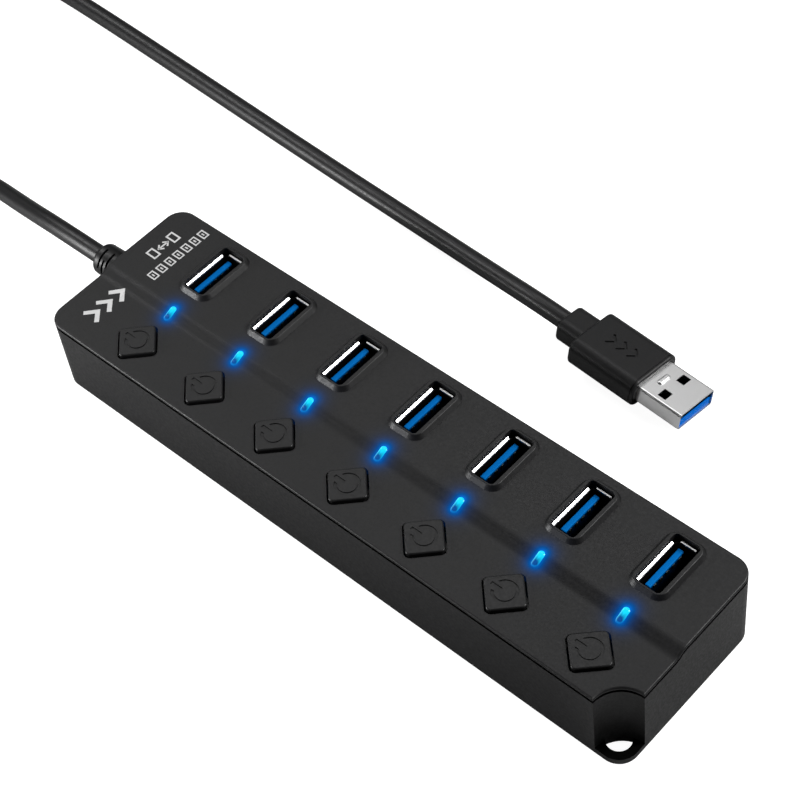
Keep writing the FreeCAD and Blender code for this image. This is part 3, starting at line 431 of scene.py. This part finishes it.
def make_materials():
    plastic = dict(tone_scale=45.0, rough_spread=0.07, grain=1700.0)
    black, soft_black = (0.0055, 0.0055, 0.0058), (0.0045, 0.0045, 0.0048)
    metal = dict(metallic=1.0, tone=0.03, rough_spread=0.02, grain=1800.0)
    plug = plug_matrix()
    plug_axis = plug.to_3x3() @ Vector((1, 0, 0))
    insert_front = plug_axis.dot(plug.translation) / MM + SHELL_OUT - INSERT_RECESS
    # the plug's insert gets painted shade behind its front face: fully dark from the first mark, full blue
    # from the second, in mm along the plug's axis
    blue_ends, blue_starts = insert_front - 0.35, insert_front - 0.1
    return {
        # painted shade on the upward faces of the lower case
        "case_black": paint_shade_on_ledges(surface_material("case_black", black, 0.46, specular=0.25,
                                                    grain_depth=0.014, **plastic)),
        # the cover's material carries the painted blue glow round the lenses
        "cover_black": paint_lens_glow_on_cover(surface_material("cover_black", black, 0.46, specular=0.25,
                                                       grain_depth=0.014, **plastic)),
        "button_black": surface_material("button_black", black, 0.42, specular=0.25, grain_depth=0.008,
                                         **plastic),
        "relief_black": surface_material("relief_black", soft_black, 0.4, specular=0.26, grain_depth=0.006,
                                         **plastic),
        "plug_black": surface_material("plug_black", black, 0.44, specular=0.25, grain_depth=0.010,
                                       **plastic),
        "cord_black": surface_material("cord_black", soft_black, 0.40, specular=0.36, grain_depth=0.002,
                                       **plastic),
        "foot_rubber": surface_material("foot_rubber", (0.012, 0.012, 0.012), 0.8, specular=0.15,
                                        grain=2500.0, grain_depth=0.01),
        "screw_steel": surface_material("screw_steel", (0.5, 0.5, 0.52), 0.35, metallic=1.0,
                                        grain=5000.0, grain_depth=0.003),
        "board_green": surface_material("board_green", (0.01, 0.12, 0.05), 0.3, grain=4000.0,
                                        grain_depth=0.003),
        "chip_black": surface_material("chip_black", (0.02, 0.02, 0.02), 0.6, grain=6000.0,
                                       grain_depth=0.003),
        "component_grey": surface_material("component_grey", (0.55, 0.55, 0.58), 0.35, metallic=1.0,
                                           grain=4000.0),
        "led_white": surface_material("led_white", (0.7, 0.8, 0.9), 0.2, grain=4000.0),
        # painted shade: the socket shells and tongues go dark below their rims, deep in the sockets
        "port_steel": paint_recess_shade(surface_material("port_steel", (0.78, 0.78, 0.78), 0.42, **metal),
                             (0, 0, 1), 21.5, 21.9, (0.03, 0.03, 0.03)),
        "tongue_blue": paint_recess_shade(surface_material("tongue_blue", (0.0, 0.125, 0.42), 0.5, specular=0.02,
                                               tone=0.1, grain=3500.0, grain_depth=0.003),
                              (0, 0, 1), 20.3, 20.8, (0.0, 0.006, 0.02)),
        "contact_gold": surface_material("contact_gold", (0.16, 0.20, 0.20), 0.3, metallic=1.0, tone=0.3,
                                         tone_scale=900.0, grain=3000.0),
        "plunger_white": surface_material("plunger_white", (0.7, 0.7, 0.68), 0.45, grain=3000.0),
        "switch_black": surface_material("switch_black", (0.02, 0.02, 0.02), 0.5, grain=3000.0),
        "plug_steel": surface_material("plug_steel", (0.70, 0.70, 0.70), 0.32, **metal),
        # a brighter copy of the plug steel: its raised colour is a painted highlight on the bump
        "dimple_steel": surface_material("dimple_steel", (0.95, 0.95, 0.95), 0.2, **metal),
        # painted shade: the plug's insert goes dark behind its front face, inside the shell
        "plug_blue": paint_recess_shade(surface_material("plug_blue", (0.0, 0.14, 0.60), 0.5, specular=0.04, tone=0.1,
                                             grain=3500.0, grain_depth=0.003),
                            tuple(plug_axis), blue_ends, blue_starts, (0.0, 0.001, 0.003)),
        "print_grey": surface_material("print_grey", (0.46, 0.46, 0.46), 0.55, specular=0.3, tone=0.08,
                                       tone_scale=1500.0, grain=6000.0, grain_depth=0.002),
        "lens_cyan": lens_material(),
        "tie_black": weave_material("tie_black", (0.010, 0.010, 0.010)),
    }


def dress_nodes(materials):
    """Give every CAD node the material of its slot, and the cover its own, with a painted glow round the
    lenses.
    """
    for row in frame["record"]["subparts"]:
        for place in nodes[row["node"]].material_slots:
            place.material = materials[row["material_slot"]]
    for place in nodes["top_cover"].material_slots:
        place.material = materials["cover_black"]


# ---------------------------------------------------------------- cord

def cord_route():
    """The lead's control points in mm: out of the hub, round the storage coil and on to the plug."""
    floor_gap = 0.05
    lying = CORD_WIDTH / 2 + floor_gap
    hub_end = [(-93.2, 4.5, 11.5), (-109.0, 4.5, 11.5), (-126.0, 6.3, 7.4), (-145.0, 8.6, 3.2),
               (-167.0, 6.0, lying), (-190.0, 1.2, lying)]
    centre_x, centre_y = COIL_CENTRE
    cuts_inside = math.cos(math.pi / COIL_STEPS) ** 0.5
    coil = []
    for step in range(int(COIL_TURNED / 360 * COIL_STEPS) + 1):
        turned = step * 360 / COIL_STEPS
        angle = math.radians(COIL_START - turned)
        climb = min(max((turned - COIL_CLIMB_FROM) / COIL_CLIMB_OVER, 0.0), 1.0)
        radius = (COIL_RADIUS - climb * COIL_NEST) / cuts_inside
        coil.append((centre_x + radius * math.cos(angle), centre_y + radius * math.sin(angle),
                     lying + climb * COIL_CLIMB))
    plug_end = [(-225.0, 56.0, 3.6), (-214.0, 65.5, lying), (-197.0, 70.8, lying), (-172.0, 70.3, lying),
                (-130.0, 68.1, lying), (-82.0, 65.4, lying), (-38.0, 63.15, 2.8), (-19.3, 61.3, 4.4)]
    for behind in (34.0, 25.5):
        plug_end.append(tuple(plug_matrix() @ mm(-behind, 0, 0) / MM))
    return hub_end + coil + plug_end


def make_cord(materials):
    route = cord_route()
    curve = bpy.data.curves.new("cord", "CURVE")
    curve.dimensions = "3D"
    curve.resolution_u = 10
    curve.bevel_depth = CORD_WIDTH / 2 * MM
    curve.bevel_resolution = 7
    curve.use_fill_caps = True
    spline = curve.splines.new("NURBS")
    spline.points.add(len(route) - 1)
    for point, place in zip(spline.points, route):
        point.co = (*mm(*place), 1.0)
    spline.order_u = 3
    spline.use_endpoint_u = True
    spline.use_smooth = True
    cord = bpy.data.objects.new("cord", curve)
    scene.collection.objects.link(cord)
    curve.materials.append(materials["cord_black"])
    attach(cord, HUB)
    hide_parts("cord_hub_end", "cord_coil", "cord_plug_end")
    return cord


def make_tie(materials):
    """Woven hook-and-loop strap wrapped round the coil, with its end lapped over the top."""
    across, up = COIL_NEST + CORD_WIDTH + 2 * TIE_THICK, COIL_TOP + TIE_THICK
    middle = (COIL_CENTRE[0] - COIL_RADIUS + COIL_NEST / 2, COIL_CENTRE[1], up / 2)
    bend, corner_steps, lap, lap_share, lap_narrower = 2.4, 8, 0.6, 0.36, 0.5
    through = TIE_THICK - 0.1
    edge, wobble, wobble_rate = 0.25, 0.08, 1.7
    outline = [(-1, edge, 1.0), (1, edge, 1.0), (1, 0.0, 0.6), (1, 0.0, 0.2),
               (1, edge, 0.0), (-1, edge, 0.0), (-1, 0.0, 0.2), (-1, 0.0, 0.6)]
    parts = []
    for grow, share, half in ((0.0, 1.0, TIE_WIDTH / 2), (lap, lap_share, TIE_WIDTH / 2 - lap_narrower)):
        outer, inner = [rounded_section(across + 2 * extra, up + 2 * extra, bend + extra, corner_steps)
                        for extra in (grow, grow - through)]
        rings = []
        for k in range(int(len(outer) * share)):
            (outer_x, outer_z), (inner_x, inner_z) = outer[k], inner[k]
            wave = wobble * math.sin(k * wobble_rate)
            rings.append([(middle[0] + inner_x + (outer_x - inner_x) * depth,
                           middle[1] + side * (half - back) + wave,
                           middle[2] + inner_z + (outer_z - inner_z) * depth)
                          for side, back, depth in outline])
        parts.append(loft(rings, looped=share == 1.0))
    verts, faces = gather(parts)
    tie = new_object("coil_tie", verts, faces, materials["tie_black"])
    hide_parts("cord_tie")
    return tie


# ---------------------------------------------------------------- plug

def make_dimple(materials):
    """The smooth bump on top of the plug's shell, drawn as half of a long ellipsoid over the CAD one."""
    rows, segments = 8, 40
    half_x, half_y, rise, sunk = 0.72, 1.95, 0.47, 0.12
    angles = [2 * math.pi * k / segments for k in range(segments)]
    lifts = [row / rows * math.pi / 2 for row in range(rows)]
    levels = [(1.0, -sunk)] + [(math.cos(lift), rise * math.sin(lift)) for lift in lifts]
    rings = [[(half_x * size * math.cos(angle), half_y * size * math.sin(angle), height)
              for angle in angles] for size, height in levels]
    verts, faces = loft(rings)
    dimple = new_object("shell_dimple", verts, faces, materials["dimple_steel"], body=None)
    dimple.matrix_world = plug_matrix() @ Matrix.Translation(mm(DIMPLE_PLACE, 0.0, SHELL_HALF))
    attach(dimple, HUB)
    return dimple


# ---------------------------------------------------------------- light guides

def lens_ring(size, lift):
    """Points across one level of a light guide, in mm: x and y from its middle, z above the floor."""
    segments, smallest, shortest = 40, 0.02, 0.25
    radius = max(size, smallest) * LENS_WIDTH / 2
    run = (LENS_DEPTH - LENS_WIDTH) / 2 * (shortest + (1 - shortest) * size)
    ring = []
    for k in range(segments):
        angle = 2 * math.pi * k / segments
        y = radius * math.sin(angle) + (run if math.sin(angle) >= 0 else -run)
        ring.append((radius * math.cos(angle), y, surface(LENS_ROW + y) + lift))
    return ring


def lens_colour(x, y, size):
    """Emitted colour at a place on a light guide, in mm from its middle: cyan above, dark blue below."""
    fade, streak_start, streak_rise, streak_size, rim_size = 0.5, 0.9, 2.0, 0.6, 0.8
    lit = min(max((y + fade) / fade, 0.0), 1.0)
    lit = lit * lit * (3 - 2 * lit)
    streak = min(max(-x / (LENS_WIDTH / 2) * streak_rise - streak_start, 0.0), 1.0)
    shares = (1.0, lit, (1.0 - lit) if size > rim_size else 0.0, streak if size > streak_size else 0.0)
    unlit, cyan = (0.002, 0.012, 0.10), (0.005, 0.70, 0.80)
    rim_blue, pale = (0.0, 0.10, 0.25), (0.08, 0.35, 0.35)
    return tuple(sum(share * part for share, part in zip(shares, parts))
                 for parts in zip(unlit, cyan, rim_blue, pale))


def make_lenses(materials):
    """Pill-shaped light guides that follow the step, bright at the end nearer the sockets."""
    levels, dome_start, dome_rate, foot, foot_colour = 9, 0.15, 1.6, -3.0, (0.0, 0.01, 0.06)
    rings = [lens_ring(1.0, foot)]
    colours = [foot_colour] * len(rings[0])
    for row in range(levels):
        share = row / (levels - 1)
        rise = math.sin(min(1.0, share * dome_rate + dome_start) * math.pi / 2)
        rings.append(lens_ring(1.0 - share, LENS_PROUD * rise))
        colours.extend(lens_colour(x, y, 1.0 - share) for x, y, _ in rings[-1])
    verts, faces = loft(rings)
    for number in PORTS:
        lens = new_object("light_guide_%d" % number, verts, faces, materials["lens_cyan"], body=None)
        layer = lens.data.color_attributes.new("glow", "FLOAT_COLOR", "POINT")
        for point, colour in zip(layer.data, colours):
            point.color = (*colour, 1.0)
        lens.location = mm(port_x(number), LENS_ROW, 0.0)
        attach(lens, HUB)
        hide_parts("led_lens_%d" % number)


# ---------------------------------------------------------------- printed marks

def on_cover(x, y, lift):
    return (x, y, surface(y) + lift)


def make_prints(materials):
    """Light grey printed marks at the cord end: chevrons, a socket row and two linked sockets."""
    low, high = -0.03, 0.02
    chevron_first, chevron_pitch, chevron_reach, chevron_line = -15.1, 3.9, 2.4, 1.1
    row_first, row_pitch, row_half, row_line = 2.2, 2.66, 0.75, 0.34
    link_places, link_half, link_line = (6.9, 13.3), 0.85, 0.42
    parts = []

    def draw(points, width, closed=False):
        parts.append(stroke_solid(points, width, low, high, on_cover, closed))

    def draw_box(left, right, y, half, width):
        draw([(left, y - half), (right, y - half), (right, y + half), (left, y + half)], width, True)

    for index in range(3):
        y = chevron_first + chevron_pitch * index
        draw([(-76.7, y), (-74.5, y + chevron_reach), (-72.3, y)], chevron_line)
    for index in range(len(PORTS)):
        y = row_first + row_pitch * index
        draw_box(-72.6, -70.3, y, row_half, row_line)
        draw([(-71.9, y), (-71.0, y)], row_line)
    for y in link_places:
        draw_box(-77.8, -75.0, y, link_half, link_line)
    draw([(-76.4, 8.6), (-76.4, 11.6)], link_line)
    for tip, back in ((11.6, 10.6), (8.6, 9.6)):
        draw([(-77.3, back), (-76.4, tip), (-75.5, back)], link_line)
    verts, faces = gather(parts)
    marks = new_object("printed_marks", verts, faces, materials["print_grey"], smooth=False)


# ---------------------------------------------------------------- stage and light

def make_stage():
    """Pale floor: it glows white for the camera alone, so the plastic mirrors a greyer, matt surface."""
    reach = 3.0
    mesh = bpy.data.meshes.new("floor")
    mesh.from_pydata([(-reach, -reach, 0), (reach, -reach, 0), (reach, reach, 0), (-reach, reach, 0)], [],
                     [(0, 1, 2, 3)])
    floor = bpy.data.objects.new("floor", mesh)
    scene.collection.objects.link(floor)
    material = bpy.data.materials.new("floor_white")
    material.use_nodes = True
    tree, shader = material.node_tree, shader_of(material)
    shader.inputs["Base Color"].default_value = (FLOOR_TONE, FLOOR_TONE, FLOOR_TONE, 1)
    shader.inputs["Roughness"].default_value = 0.9
    shader.inputs["Specular IOR Level"].default_value = 0.0
    shader.inputs["Emission Color"].default_value = (1, 1, 1, 1)
    seen = add(tree, "ShaderNodeLightPath").outputs["Is Camera Ray"]
    tree.links.new(calculate(tree, "MULTIPLY", seen, FLOOR_GLOW), shader.inputs["Emission Strength"])
    mesh.materials.append(material)


def softbox(name, place, target, size, radiance):
    """A rectangular lamp of a given brightness, which the camera doesn't see."""
    width, height = size
    data = bpy.data.lights.new(name, "AREA")
    data.shape = "RECTANGLE"
    data.size, data.size_y = width, height
    data.energy = radiance * math.pi * width * height
    light = bpy.data.objects.new(name, data)
    light.location = place
    light.rotation_euler = (Vector(target) - Vector(place)).to_track_quat("-Z", "Y").to_euler()
    light.visible_camera = False
    scene.collection.objects.link(light)


def make_light():
    world = bpy.data.worlds.new("studio")
    world.use_nodes = True
    background = world.node_tree.nodes["Background"]
    background.inputs["Color"].default_value = (1, 1, 1, 1)
    background.inputs["Strength"].default_value = WORLD_LIGHT
    scene.world = world
    for row in SOFTBOXES:
        softbox(*row)
    scene.view_settings.view_transform = "Standard"
    scene.view_settings.look = "None"


# ---------------------------------------------------------------- build

make_camera()
MATERIALS = make_materials()
dress_nodes(MATERIALS)
lead = make_cord(MATERIALS)
strap = make_tie(MATERIALS)
dimple = make_dimple(MATERIALS)
make_lenses(MATERIALS)
make_prints(MATERIALS)
make_stage()
make_light()
